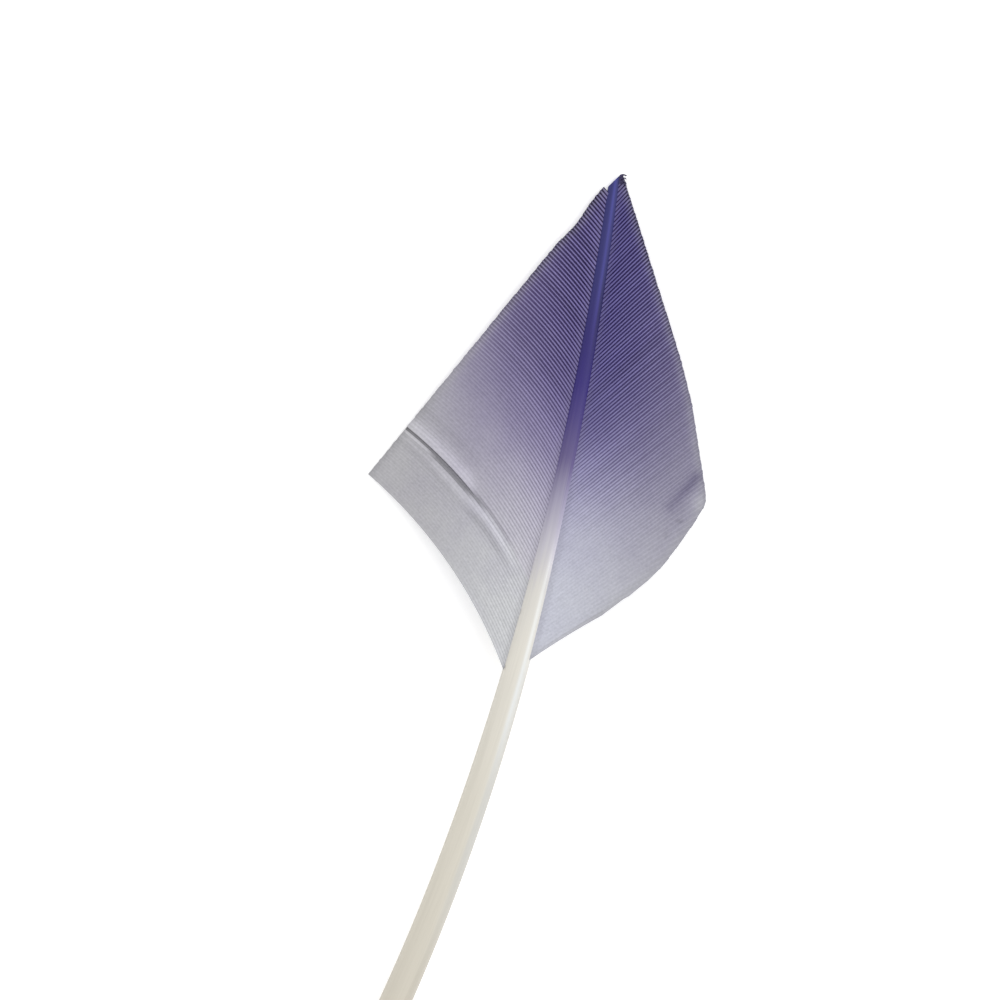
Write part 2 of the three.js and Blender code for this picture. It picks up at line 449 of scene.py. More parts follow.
@dataclass(frozen=True)
class BarbFinish:
    """Dyed feather keratin of the barbs.

    The rami are solid rods with a soft satin gloss, and the web of fine barbules between them takes
    more dye. Where the barbs stand out, the rami get a painted sheen and the web a painted shade, as it lies in the
    rami's shade.
    """

    name: str
    undyed: str
    undyed_outer: str
    ink: str
    own_ink: str
    painted_light_gain: float
    roughness: float
    specular: float
    gloss_roughness: float = 0.12
    keratin_ior: float = 1.54
    blotch_mm: float = 6.0
    grain_mm: float = 0.45

    def build(self) -> bpy.types.Material:
        """Makes the material."""
        material = bpy.data.materials.new(self.name)
        material.use_nodes = True
        tree = material.node_tree
        tree.nodes.clear()
        place = add_node(tree, "ShaderNodeTexCoord").outputs["Object"]
        dye = add_node(tree, "ShaderNodeAttribute", {"attribute_name": "dye"}).outputs["Fac"]
        outer = add_node(tree, "ShaderNodeAttribute", {"attribute_name": "outer"}).outputs["Fac"]
        relief = add_node(tree, "ShaderNodeAttribute", {"attribute_name": "relief"}).outputs["Fac"]
        shade = add_node(tree, "ShaderNodeAttribute", {"attribute_name": "shade"}).outputs["Fac"]
        # Dye dries in soft blotches a few millimetres across
        blotch = add_node(
            tree,
            "ShaderNodeTexNoise",
            {"noise_dimensions": "3D"},
            {"Vector": place, "Scale": 1 / (self.blotch_mm * MM), "Detail": 3.0, "Roughness": 0.55},
        ).outputs["Fac"]
        uneven = add_node(
            tree, "ShaderNodeMath", {"operation": "MULTIPLY_ADD"}, {0: blotch, 1: 0.12, 2: -0.06}
        ).outputs[0]
        blotched = add_node(tree, "ShaderNodeMath", {"operation": "ADD"}, {0: dye, 1: uneven}).outputs[0]
        soaked = add_node(tree, "ShaderNodeMath", {"operation": "MAXIMUM"}, {0: blotched, 1: 0.0}).outputs[0]
        bare = add_node(
            tree,
            "ShaderNodeMix",
            {"data_type": "RGBA"},
            {0: outer, 6: linear(self.undyed), 7: linear(self.undyed_outer)},
        ).outputs[2]
        # The dye takes its share of the light once for each layer of it
        hue = add_node(
            tree,
            "ShaderNodeMix",
            {"data_type": "RGBA"},
            {0: relief, 6: linear(self.ink), 7: linear(self.own_ink)},
        ).outputs[2]
        ink = add_node(tree, "ShaderNodeGamma", None, {"Color": hue, "Gamma": soaked}).outputs[0]
        mean = add_node(
            tree, "ShaderNodeMix", {"data_type": "RGBA", "blend_type": "MULTIPLY"}, {0: 1.0, 6: bare, 7: ink}
        ).outputs[2]
        # Real barbules are 0.03 mm apart, too fine to show, so their grain is drawn coarser
        grain = add_node(
            tree,
            "ShaderNodeTexNoise",
            {"noise_dimensions": "3D"},
            {"Vector": place, "Scale": 1 / (self.grain_mm * MM), "Detail": 2.0, "Roughness": 0.6},
        ).outputs["Fac"]
        speckle = add_node(
            tree, "ShaderNodeMath", {"operation": "MULTIPLY_ADD"}, {0: grain, 1: 0.40, 2: 0.80}
        ).outputs[0]
        # Painted sheen on the rami and painted shade on the web, stronger where the barbs stand out
        painted_sheen_and_shade = add_node(
            tree, "ShaderNodeMath", {"operation": "MULTIPLY_ADD"}, {0: relief, 1: self.painted_light_gain, 2: 1.0}
        ).outputs[0]
        toned = add_node(tree, "ShaderNodeMath", {"operation": "MULTIPLY"}, {0: painted_sheen_and_shade, 1: speckle}).outputs[0]
        # The shade attribute brings painted shadow and highlight beside the split, painted shade in the fold and at the
        # roots, and also random tone, spots and a darker rim and cut ends
        lit = add_node(tree, "ShaderNodeMath", {"operation": "ADD"}, {0: shade, 1: 1.0}).outputs[0]
        factor = add_node(tree, "ShaderNodeMath", {"operation": "MULTIPLY"}, {0: toned, 1: lit}).outputs[0]
        colour = add_node(
            tree, "ShaderNodeVectorMath", {"operation": "SCALE"}, {0: mean, "Scale": factor}
        ).outputs[0]
        satin = add_node(
            tree,
            "ShaderNodeMath",
            {"operation": "MULTIPLY_ADD"},
            {0: grain, 1: self.gloss_roughness, 2: self.roughness - self.gloss_roughness / 2},
        ).outputs[0]
        bump = add_node(
            tree,
            "ShaderNodeBump",
            None,
            {"Strength": 0.25, "Distance": 0.05 * MM, "Height": grain},
        ).outputs[0]
        shader = add_node(
            tree,
            "ShaderNodeBsdfPrincipled",
            None,
            {
                "Base Color": colour,
                "Roughness": satin,
                "Normal": bump,
                "IOR": self.keratin_ior,
                "Specular IOR Level": self.specular,
            },
        )
        add_node(tree, "ShaderNodeOutputMaterial", None, {"Surface": shader.outputs[0]})
        return material


@dataclass(frozen=True)
class QuillFinish:
    """Keratin of the shaft: smooth, pale cream horn with fine lengthwise streaks.

    It is grown, then stripped and scraped, so it has a satin gloss, and the dye has soaked its
    upper end evenly because nothing there scatters it as barbules do.
    """

    name: str = "dyed_quill_keratin"
    stops: tuple[tuple[float, str], ...] = (
        (0, "#363772"),
        (20, "#363472"),
        (30, "#332b70"),
        (38, "#392e78"),
        (44, "#4c4180"),
        (52, "#695f8b"),
        (60, "#a5a0b6"),
        (68, "#c8c5ce"),
        (76, "#dfdcd6"),
        (88, "#e5e1d7"),
        (116, "#dfdacd"),
        (150, "#d8d2c4"),
        (215, "#d9d0bc"),
        (287, "#cdbf9f"),
    )
    # Colour of the painted highlight along the back, and colour of the painted shade on the side wall
    ridge: str = "#f2f3f0"
    wall: str = "#d6dbdf"
    roughness: float = 0.38
    specular: float = 0.22
    keratin_ior: float = 1.54
    streak_mm: float = 0.35
    streak_length_mm: float = 14.0

    def build(self, length: float) -> bpy.types.Material:
        """Makes the material.

        Args:
            length: The shaft's length, which the ramp covers.

        Returns:
            The material.
        """
        material = bpy.data.materials.new(self.name)
        material.use_nodes = True
        tree = material.node_tree
        tree.nodes.clear()
        at = add_node(tree, "ShaderNodeAttribute", {"attribute_name": "at"}).outputs["Fac"]
        across = add_node(tree, "ShaderNodeAttribute", {"attribute_name": "across"}).outputs["Fac"]
        up = add_node(tree, "ShaderNodeAttribute", {"attribute_name": "up"}).outputs["Fac"]
        ridge = add_node(tree, "ShaderNodeAttribute", {"attribute_name": "ridge"}).outputs["Fac"]
        wall = add_node(tree, "ShaderNodeAttribute", {"attribute_name": "wall"}).outputs["Fac"]
        darkening = add_node(tree, "ShaderNodeAttribute", {"attribute_name": "darkening"}).outputs["Fac"]
        painted_light = add_node(tree, "ShaderNodeAttribute", {"attribute_name": "painted_light"}).outputs["Fac"]
        stretched = add_node(
            tree,
            "ShaderNodeCombineXYZ",
            None,
            {
                "X": add_node(
                    tree, "ShaderNodeMath", {"operation": "MULTIPLY"}, {0: across, 1: 2.5 / self.streak_mm}
                ).outputs[0],
                "Y": add_node(
                    tree, "ShaderNodeMath", {"operation": "MULTIPLY"}, {0: up, 1: 2.5 / self.streak_mm}
                ).outputs[0],
                "Z": add_node(
                    tree, "ShaderNodeMath", {"operation": "DIVIDE"}, {0: at, 1: self.streak_length_mm}
                ).outputs[0],
            },
        ).outputs[0]
        streak = add_node(
            tree,
            "ShaderNodeTexNoise",
            {"noise_dimensions": "3D"},
            {"Vector": stretched, "Scale": 1.0, "Detail": 3.0, "Roughness": 0.6},
        ).outputs["Fac"]
        cloud = add_node(
            tree,
            "ShaderNodeTexNoise",
            {"noise_dimensions": "3D"},
            {"Vector": stretched, "Scale": 0.3, "Detail": 2.0, "Roughness": 0.5},
        ).outputs["Fac"]
        # The dye creeps further down some streaks than others
        creep = add_node(
            tree, "ShaderNodeMath", {"operation": "MULTIPLY_ADD"}, {0: cloud, 1: 9.0, 2: -4.5}
        ).outputs[0]
        reached = add_node(tree, "ShaderNodeMath", {"operation": "ADD"}, {0: at, 1: creep}).outputs[0]
        share = add_node(tree, "ShaderNodeMath", {"operation": "DIVIDE"}, {0: reached, 1: length}).outputs[0]
        ramp = add_node(tree, "ShaderNodeValToRGB", None, {0: share})
        fill_ramp(ramp, [(place / length, linear(code)) for place, code in self.stops])
        # Painted highlight where the ridge mark is, then painted shade where the wall mark is
        with_painted_highlight = add_node(
            tree, "ShaderNodeMix", {"data_type": "RGBA"}, {0: ridge, 6: ramp.outputs[0], 7: linear(self.ridge)}
        ).outputs[2]
        with_painted_wall_shade = add_node(
            tree, "ShaderNodeMix", {"data_type": "RGBA"}, {0: wall, 6: with_painted_highlight, 7: linear(self.wall)}
        ).outputs[2]
        fine = add_node(
            tree, "ShaderNodeMath", {"operation": "MULTIPLY_ADD"}, {0: streak, 1: 0.14, 2: 0.83}
        ).outputs[0]
        # Darker along the scars, a speck and the lower end, and with painted shade on the right of the back
        marked_and_painted_shade = add_node(
            tree, "ShaderNodeMath", {"operation": "MULTIPLY_ADD"}, {0: darkening, 1: -0.22, 2: 1.0}
        ).outputs[0]
        # Painted light: the dyed back is painted lighter right of its middle, so its left face looks darker, and its
        # flanks are painted lighter further down
        with_painted_light = add_node(
            tree, "ShaderNodeMath", {"operation": "MULTIPLY_ADD"}, {0: painted_light, 1: 0.65, 2: 1.0}
        ).outputs[0]
        toned = add_node(tree, "ShaderNodeMath", {"operation": "MULTIPLY"}, {0: fine, 1: marked_and_painted_shade}).outputs[0]
        factor = add_node(tree, "ShaderNodeMath", {"operation": "MULTIPLY"}, {0: toned, 1: with_painted_light}).outputs[0]
        colour = add_node(
            tree, "ShaderNodeVectorMath", {"operation": "SCALE"}, {0: with_painted_wall_shade, "Scale": factor}
        ).outputs[0]
        satin = add_node(
            tree,
            "ShaderNodeMath",
            {"operation": "MULTIPLY_ADD"},
            {0: streak, 1: 0.16, 2: self.roughness - 0.08},
        ).outputs[0]
        bump = add_node(
            tree,
            "ShaderNodeBump",
            None,
            {"Strength": 0.35, "Distance": 0.04 * MM, "Height": streak},
        ).outputs[0]
        shader = add_node(
            tree,
            "ShaderNodeBsdfPrincipled",
            None,
            {
                "Base Color": colour,
                "Roughness": satin,
                "Normal": bump,
                "IOR": self.keratin_ior,
                "Specular IOR Level": self.specular,
            },
        )
        add_node(tree, "ShaderNodeOutputMaterial", None, {"Surface": shader.outputs[0]})
        return material


@dataclass
class QuillShaft:
    """The shaft: a solid, slightly flattened horn rod with a groove below and a closed lower end."""

    spine: Spine
    finish: QuillFinish = field(default_factory=QuillFinish)
    sides: int = 48
    ring_step: float = 0.5
    tip_slant: float = 2.4
    tip_slant_reach: float = 5.0
    end_rounding: float = 5.0
    end_closing: float = 0.85
    groove_ends_at: float = 228.0
    groove_depth: float = 0.16
    groove_width: float = 0.24
    bevel_across: float = 0.5
    scar_from: float = 90.0
    strips: int = 4
    strip_length: float = 73.0

    def ring_places(self) -> Array:
        """Distances of the rings from the tip, closer at both ends."""
        tip = np.array((0.0, 0.12, 0.3, 0.6, 1.0, 1.5))
        middle = np.arange(2.0, self.spine.length - self.end_rounding, self.ring_step)
        end = self.spine.length - self.end_rounding * (1 - np.sin(np.linspace(0, math.pi / 2, 14)))
        return np.concatenate((tip, middle, end))

    def section(self, at: Array) -> tuple[Array, Array]:
        """Outline of the shaft at each place, as shares of half its width and half its depth.

        Args:
            at: Distances from the tip, one for each ring.

        Returns:
            Across and up, one row for each ring and one column for each side.
        """
        angle = -math.pi / 2 + 2 * math.pi * np.arange(self.sides) / self.sides
        power = 2 / self.spine.squareness
        across = np.sign(np.cos(angle)) * np.abs(np.cos(angle)) ** power
        up = np.sign(np.sin(angle)) * np.abs(np.sin(angle)) ** power
        across = np.repeat(across[None, :], len(at), axis=0)
        up = np.repeat(up[None, :], len(at), axis=0)
        # A groove runs along the underside of the feather's upper part
        reach = (1 - smooth(at, self.groove_ends_at - 12, self.groove_ends_at)) * smooth(at, 3, 14)
        groove = self.groove_depth * 2 * reach[:, None] * bell(across, 0, self.groove_width)
        up = up + np.where(up < 0, groove, 0.0)
        # The right side of the back is bevelled where the vane is, and the wall shows past it
        bevel = smooth(at, 30, 70) * (1 - smooth(at, 104, 150))
        fall = smooth(across, self.bevel_across, 1.0) * 0.15 + smooth(-across, 0.55, 1.0) * 0.05
        up = np.where(up > 0.1, up - bevel[:, None] * fall * smooth(up, 0.1, 0.6), up)
        return across, up

    def build(self) -> bpy.types.Object:
        """Makes the shaft's object."""
        spine = self.spine
        at = self.ring_places()
        across, up = self.section(at)
        past = np.clip(at - (spine.length - self.end_rounding), 0, None) / self.end_rounding
        closing = np.sqrt(1 - self.end_closing * past**2)[:, None]
        slant = self.tip_slant * (1 - across) / 2 * np.maximum(1 - at / self.tip_slant_reach, 0)[:, None]
        centre = spine.point(at[:, None] + slant)
        sideways = across * closing * (spine.size(at, spine.widths) / 2)[:, None]
        flat = spine.across(at)
        x = centre[..., 0] + sideways * flat[:, :1]
        y = centre[..., 1] + sideways * flat[:, 1:]
        z = spine.lift(at)[:, None] + (spine.size(at, spine.depths) / 2)[:, None] * (1 + up * closing)
        rings = np.stack((x, y, z), axis=-1)
        # The scar at the lower end is a shallow dimple
        hub = rings[-1].mean(axis=0)
        inward = np.append(-(spine.point(at[-1]) - spine.point(at[-1] - 1.0)), 0.0)
        dimple = [
            hub + (rings[-1] - hub) * share + inward * depth
            for share, depth in ((0.8, -0.12), (0.55, -0.1), (0.4, 0.25), (0.25, 0.9), (0.1, 1.2))
        ]
        rings = np.concatenate((rings, np.array(dimple)))
        run = np.concatenate((at, at[-1] + np.arange(1, len(dimple) + 1) * 0.3))
        across = np.concatenate((across, np.repeat(across[-1:], len(dimple), axis=0)))
        up = np.concatenate((up, np.repeat(up[-1:], len(dimple), axis=0)))
        marks = self.marks(run, across, up)
        return self.assemble(rings, run, across, up, marks)

    def marks(self, run: Array, across: Array, up: Array) -> dict[str, Array]:
        """Where the surface has a marking, a painted highlight or painted shade, from 0 to 1 at each vertex.

        Args:
            run: Distance of each ring along the surface from the tip.
            across: Place of each vertex across the shaft.
            up: Place of each vertex between underside and back.

        Returns:
            The strength of each marking and of the painted highlight and shade, by name.
        """
        place = run[:, None]
        back = smooth(up, 0.0, 0.4)
        # Painted highlight along the right of the back, painted shade on the side wall past it, and lower down a cool
        # painted shade over the right of the back
        ridge = bell(across, 0.56, 0.15) * back * smooth(place, 64, 80) * (1 - smooth(place, 94, 116))
        wall = smooth(across, 0.84, 0.96) * smooth(place, 70, 78) * (1 - smooth(place, 84, 94)) * 0.8
        painted_cool_shade = smooth(across, 0.35, 0.6) * back * smooth(place, 84, 92) * (1 - smooth(place, 120, 150))
        wall = np.maximum(wall, 0.35 * painted_cool_shade)
        # Painted light: a lighter strip right of the middle of the dyed back, a lighter right side from 48 to 76 mm and
        # lighter flanks from 40 to 92 mm
        painted_light = bell(across, 0.26, 0.26) * back * (1.3 - 0.3 * smooth(place, 4, 14) - smooth(place, 18, 36))
        paler = smooth(across, 0.35, 0.7) * smooth(place, 48, 58) * (1 - smooth(place, 70, 76))
        painted_light = painted_light + 0.28 * paler
        painted_light = painted_light + 0.17 * smooth(np.abs(across), 0.6, 0.85) * smooth(place, 40, 50) * (1 - smooth(place, 84, 92))
        # Painted shade on the right of the back from about 100 mm down, and on the dyed right side round 24 mm, where
        # the lamp on the right lights it
        shaded = 0.55 * smooth(across, 0.35, 0.75) * smooth(place, 96, 116)
        shaded = shaded + 1.5 * smooth(across, 0.3, 0.6) * bell(place, 24, 8)
        speck = bell(place, 80.3, 0.35) * bell(across, -0.93, 0.1)
        pitch = 0.8
        nicks = 0.6 + 0.4 * np.sin(2 * math.pi * place / pitch) * smooth(np.abs(across), 0.8, 0.9)
        stripped = smooth(place, self.scar_from, self.scar_from + 3) * (
            1 - smooth(place, self.groove_ends_at, self.groove_ends_at + 8)
        )
        # Scars where the barbs were stripped; they, the speck and the lower end share one darkening attribute with the
        # painted shade
        darkening = bell(up, 0.42, 0.1) * smooth(np.abs(across), 0.8, 0.92) * stripped * nicks
        old_end = smooth(place, 286.5, 288.0) * np.ones_like(up)
        marks_and_painted_shade = np.maximum(np.maximum(darkening, old_end), np.maximum(shaded, 2.0 * speck))
        return {"ridge": ridge, "wall": wall, "painted_light": painted_light, "darkening": marks_and_painted_shade}

    def assemble(self, rings: Array, run: Array, across: Array, up: Array, marks: dict[str, Array]) -> bpy.types.Object:
        """Joins the rings to a closed mesh with its own map for baking.

        Args:
            rings: Points of each ring.
            run: Distance of each ring along the surface from the tip.
            across: Place of each vertex across the shaft.
            up: Place of each vertex between underside and back.
            marks: Strength of each marking and of the painted highlight and shade at each vertex.

        Returns:
            The shaft's object.
        """
        count, sides = len(rings), self.sides
        faces: list[tuple[int, ...]] = [tuple(range(sides))]
        corners: list[tuple[float, float]] = [(k / sides / self.strips, 0.0) for k in range(sides)]
        for i in range(count - 1):
            strip = min(int(run[i] // self.strip_length), self.strips - 1)
            low, high = (
                (run[n] - strip * self.strip_length) / self.strip_length * 0.97 + 0.01 for n in (i, i + 1)
            )
            for k in range(sides):
                after = (k + 1) % sides
                faces.append((i * sides + k, (i + 1) * sides + k, (i + 1) * sides + after, i * sides + after))
                left, right = ((strip + 0.02 + 0.96 * n / sides) / self.strips for n in (k, k + 1))
                corners += [(left, low), (left, high), (right, high), (right, low)]
        last = (count - 1) * sides
        faces.append(tuple(range(last + sides - 1, last - 1, -1)))
        corners += [(0.99, 0.99)] * sides
        attributes = {
            "at": np.repeat(run[:, None], sides, axis=1).ravel(),
            "across": across.ravel(),
            "up": up.ravel(),
        }
        attributes.update({name: values.ravel() for name, values in marks.items()})
        shaft = mesh_object(
            "quill_shaft_keratin",
            rings.reshape(-1, 3) + np.array(TIP_PLACE),
            faces,
            [self.finish.build(self.spine.length)],
            np.zeros(len(faces)),
            attributes,
            sharp_degrees=50,
        )
        layer = shaft.data.uv_layers.new(name=BAKE_MAP)
        layer.uv.foreach_set("vector", np.array(corners, dtype=np.float32).ravel())
        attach(shaft, "root")
        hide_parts("quill_shaft")
        return shaft


@dataclass
class Vane:
    """Part of a vane: barbs side by side, each a rod with a web of barbules on both sides."""

    name: str
    node: str
    slot: str
    spine: Spine
    law: BarbLaw
    first_at: float
    last_at: float
    seed: int
    finishes: tuple[BarbFinish, BarbFinish]
    dye: Dye
    lip_at_start: bool = False
    lip_at_end: bool = False
    root_gap: float = 0.3
    inset: float = 1.0
    longest: float = 46.0
    fine_step: float = 0.2
    barb_step: float = 0.8
    lowest: float = 0.2
    droop_power: float = 1.5
    ramus_half_width: float = 0.14
    ramus_height: float = 0.30
    keel_depth: float = 0.24
    overlap: float = 1.10
    most_oblique: float = 7.0
    ragged: float = 0.11
    end_reach: float = 4.0
    rim_width: float = 2.1
    foot_rim: float = 0.0
    paler_from: float = 2.0
    paler_to: float = 29.0
    group: int = 14

    def roots(self) -> Array:
        """Distances of the barb roots from the tip."""
        places = [self.first_at]
        while places[-1] < self.last_at - 0.4:
            pitch = self.law.pitch + self.law.pitch_change * places[-1]
            places.append(places[-1] + max(pitch, self.law.least_pitch))
        scale = (self.last_at - self.first_at) / (places[-1] - self.first_at)
        return self.first_at + (np.array(places) - self.first_at) * scale

    def paths(self, roots: Array, rng: np.random.Generator) -> tuple[Array, Array]:
        """Plan of every barb before it is cut.

        Args:
            roots: Distances of the barb roots from the tip.
            rng: Source of the small differences between barbs.

        Returns:
            Reach from the root, and the points of each barb at every reach.
        """
        law, spine, side = self.law, self.spine, self.law.side.value
        reach = np.arange(-self.inset, self.longest, self.fine_step)
        knots = np.arange(0, len(roots) + self.group, self.group)
        grouping = np.interp(np.arange(len(roots)), knots, rng.normal(0, 0.16, len(knots)))
        angle = law.angle + law.angle_change * roots + rng.normal(0, 0.07, len(roots)) + grouping
        # The barbs beside the split lean a little further out than the rest
        angle = angle + law.fan * bell(roots, SPLIT_AT, 9.0)
        past = np.maximum(roots - law.end_curl_from, 0.0)
        curl = law.curl + law.curl_change * roots + law.end_curl * past**2
        middle = (reach[:-1] + reach[1:]) / 2
        turn = np.radians(angle[:, None] + curl[:, None] * np.maximum(middle, 0.0)[None, :])
        direction = spine.heading(roots)[:, None] - side * turn
        moves = self.fine_step * np.stack((np.cos(direction), np.sin(direction)), axis=-1)
        path = np.concatenate((np.zeros((len(roots), 1, 2)), np.cumsum(moves, axis=1)), axis=1)
        at_root = int(round(self.inset / self.fine_step))
        start = spine.point(roots) + side * (spine.flank(roots) + self.root_gap)[:, None] * spine.across(roots)
        path = path - path[:, at_root : at_root + 1, :] + start[:, None, :]
        return reach, path

    def lips(self, count: int, reach: Array) -> tuple[Array, Array, Array]:
        """How the barbs beside the split are lifted, moved aside and given painted shadow and highlight.

        Args:
            count: Number of barbs.
            reach: Reach from the root.

        Returns:
            Lift, move away from the split and painted shadow and highlight, one row for each barb.
        """
        lift = np.zeros((count, len(reach)))
        apart = np.zeros_like(lift)
        shade = np.zeros_like(lift)
        number = np.arange(count, dtype=float)[:, None]
        # The split gapes in its outer half and is only a crease with a ridge beside it further in
        gaping = smooth(reach, 16.5, 20.5)[None, :]
        outermost = smooth(reach, 27.0, 31.0)[None, :]
        creased = smooth(reach, 2.0, 11.0)[None, :] * (1 - gaping)
        # Width of the gap, counted in barbs
        width = 1.65 * smooth(reach, 13.0, 22.0)[None, :] * (1 - 0.45 * outermost)
        ridge = smooth(reach, 2.0, 11.0)[None, :]
        if self.lip_at_end:
            from_split = count - 1 - number
            lift += gaping * 0.24 * np.exp(-from_split / 1.7)
            apart += gaping * 0.05 * np.exp(-from_split / 1.8)
            # Painted highlight on the lifted lip, painted shade a few barbs further on and painted shade along the
            # crease
            shade += gaping * 0.30 * bell(from_split, 1.0, 1.9)
            shade -= gaping * 0.07 * bell(from_split, 6.5, 1.5)
            shade -= creased * 0.24 * bell(from_split, 0.0, 0.6)
        if self.lip_at_start:
            from_split = number
            lift -= gaping * 0.16 * np.exp(-from_split / 1.3)
            lift += creased * 0.18 * bell(from_split, 1.4, 1.5)
            # Painted shadow in the gap, painted dark and light lines at its outer end, and a painted highlight on the
            # ridge with painted shade at its foot
            shade -= 0.38 * smooth(width - from_split, -0.1, 0.6)
            shade += outermost * 0.18 * bell(from_split, 0.9, 0.4)
            shade -= outermost * 0.20 * bell(from_split, 2.0, 0.4)
            shade += ridge * (0.25 - 0.07 * gaping) * bell(from_split, width + 1.1, 1.0)
            shade -= ridge * (0.18 - 0.12 * gaping) * bell(from_split, width + 3.7, 0.9)
        return lift, apart, shade

    def build(self) -> bpy.types.Object:
        """Makes the object of this part of the vane."""
        rng = np.random.default_rng(self.seed)
        spine, law = self.spine, self.law
        roots = self.roots()
        reach, path = self.paths(roots, rng)
        along = np.gradient(path, axis=1)
        along = along / np.linalg.norm(along, axis=2, keepdims=True)
        left = np.stack((-along[..., 1], along[..., 0]), axis=-1)
        to_base = -law.side.value
        lift, apart, shade = self.lips(len(roots), reach)
        away_from_split = -to_base if self.lip_at_end else to_base
        path = path + left * (apart * away_from_split)[..., None]
        next_gap = np.abs(((path[1:] - path[:-1]) * left[:-1]).sum(axis=2))
        gap_after = np.concatenate((next_gap, next_gap[-1:]))
        gap_before = np.concatenate((next_gap[:1], next_gap))

        flat = path.reshape(-1, 2)
        at, away = spine.foot(flat)
        corner_at, corner_away = spine.foot(np.array([law.corner]))
        droop = (spine.vane_level(corner_at) - self.lowest) / corner_away**self.droop_power
        height = spine.vane_level(at) - droop * away**self.droop_power
        height += 0.10 * np.sin(at / 4.1 + away / 7.0) * smooth(away, 4, 14)
        height = np.maximum(height, self.lowest).reshape(path.shape[:2]) + lift
        at, away = at.reshape(height.shape), away.reshape(height.shape)
        offset = np.gradient(path, axis=0)
        uphill = np.gradient(height, axis=1) / self.fine_step
        climb = np.gradient(height, axis=0) - uphill * (offset * along).sum(axis=2)
        rise = climb / ((gap_after + gap_before) / 2) * to_base
        relief = self.dye.relief(at, away)
        shade = shade + rng.normal(0, 0.045, (len(roots), 1)) * (0.15 + 0.85 * relief)
        painted_fold_shade_and_marks, stain = self.marks(path)
        shade = shade + painted_fold_shade_and_marks

        distances = np.stack([cut.inside(path, law.side) for cut in law.cuts])
        middle, width, depth = law.notch
        inside = distances.min(axis=0) - depth * bell(path[..., 1], middle, width)
        # The blade cuts straight across several barbs, so their ends are as oblique as the cut
        nearness = np.exp((distances.min(axis=0) - distances) / 0.35)
        nearness /= nearness.sum(axis=0)
        inward = np.tensordot(nearness, np.array([cut.inward(law.side) for cut in law.cuts]), axes=(0, 0))
        closing = (inward * along).sum(axis=2)
        sideways = (inward * left).sum(axis=2)
        oblique = np.clip(sideways / np.minimum(closing, -0.05), -self.most_oblique, self.most_oblique)
        rim = 1 - smooth(inside, 0.3, self.rim_width)
        from_foot = (len(roots) - 1 - np.arange(len(roots)))[:, None]
        rim = np.maximum(rim, self.foot_rim * bell(from_foot, 0.0, 1.6) * np.ones_like(rim))
        inside = inside - rng.uniform(0.0, self.ragged, (len(roots), 1)) * np.minimum(-closing, 1)
        barbs = np.stack(
            (path[..., 0], path[..., 1], height, gap_after, gap_before, rise)
            + (at, away, shade, stain, oblique, rim, inside),
            axis=-1,
        )
        return self.assemble(reach, barbs, rng)

    def marks(self, path: Array) -> tuple[Array, Array]:
        """Painted shade of the fold's crease near the right corner, the fold's extra dye, a lighter patch with less dye
        at the corner and two dark spots, at points of the vane.
        """
        shade = np.zeros(path.shape[:2])
        stain = np.zeros(path.shape[:2])
        if self.law.side is Side.NARROW:
            start, end = np.array((33.7, -44.9)), np.array((31.2, -51.8))
            line = end - start
            share = np.clip(((path - start) @ line) / (line @ line), 0.0, 1.0)
            distance = np.linalg.norm(path - start - share[..., None] * line, axis=2)
            fold = bell(distance, 0, 0.65) * (1 - 0.6 * smooth(share, 0.3, 1.0))
            # The fold's darkening is painted shade in its crease; its extra dye is its own colour
            shade -= 0.09 * fold + 0.04 * bell(distance, 0, 1.7)
            stain += 0.13 * fold + 0.07 * bell(distance, 0, 1.7)
            corner = bell(np.linalg.norm(path - np.array((35.4, -48.9)), axis=2), 0, 1.6)
            shade += 0.08 * corner
            stain -= 0.10 * corner
            for x, y, radius, depth in ((33.6, -53.3, 0.42, 0.30), (32.4, -56.5, 0.5, 0.20)):
                shade -= depth * bell(np.linalg.norm(path - np.array((x, y)), axis=2), 0, radius)
        return shade, stain

    def assemble(self, reach: Array, barbs: Array, rng: np.random.Generator) -> bpy.types.Object:
        """Gives each barb its solid form and joins them all in one mesh.

        Args:
            reach: Reach from the root.
            barbs: What the barbs are like at every reach.
            rng: Source of the small differences between barbs.

        Returns:
            The object of this part of the vane.
        """
        points: list[Array] = []
        faces: list[tuple[int, ...]] = []
        tissue: list[int] = []
        named: dict[str, list[Array]] = {"dye": [], "outer": [], "relief": [], "shade": []}
        web_columns = {0, 6, 7, 11}
        total = 0
        for barb in barbs:
            inside = barb[:, -1]
            beyond = np.nonzero(inside[5:] < 0)[0]
            if len(beyond) == 0:
                continue
            i = beyond[0] + 5
            length = reach[i - 1] + self.fine_step * inside[i - 1] / (inside[i - 1] - inside[i])
            if length < 0.5:
                continue
            count = max(3, int(math.ceil((length + self.inset) / self.barb_step)) + 1)
            place = np.linspace(-self.inset, length, count)
            row = np.stack([np.interp(place, reach, values) for values in barb.T[:-1]], axis=1)
            ring, extra = self.rings(place, length, row, rng)
            points.append(ring.reshape(-1, 3))
            sides = ring.shape[1]
            for key, value in extra.items():
                named[key].append(np.repeat(value, sides))
            for r in range(count - 1):
                low, high = total + r * sides, total + (r + 1) * sides
                for k in range(sides):
                    after = (k + 1) % sides
                    faces.append((low + k, low + after, high + after, high + k))
                    tissue.append(Tissue.WEB.value if k in web_columns else Tissue.RAMUS.value)
            faces.append(tuple(range(total + sides - 1, total - 1, -1)))
            end = total + (count - 1) * sides
            faces.append(tuple(range(end, end + sides)))
            tissue += [Tissue.RAMUS.value] * 2
            total += count * sides
        vane = mesh_object(
            self.name,
            np.concatenate(points) + np.array(TIP_PLACE),
            faces,
            [finish.build() for finish in self.finishes],
            np.array(tissue),
            {key: np.concatenate(value) for key, value in named.items()},
            sharp_degrees=55,
        )
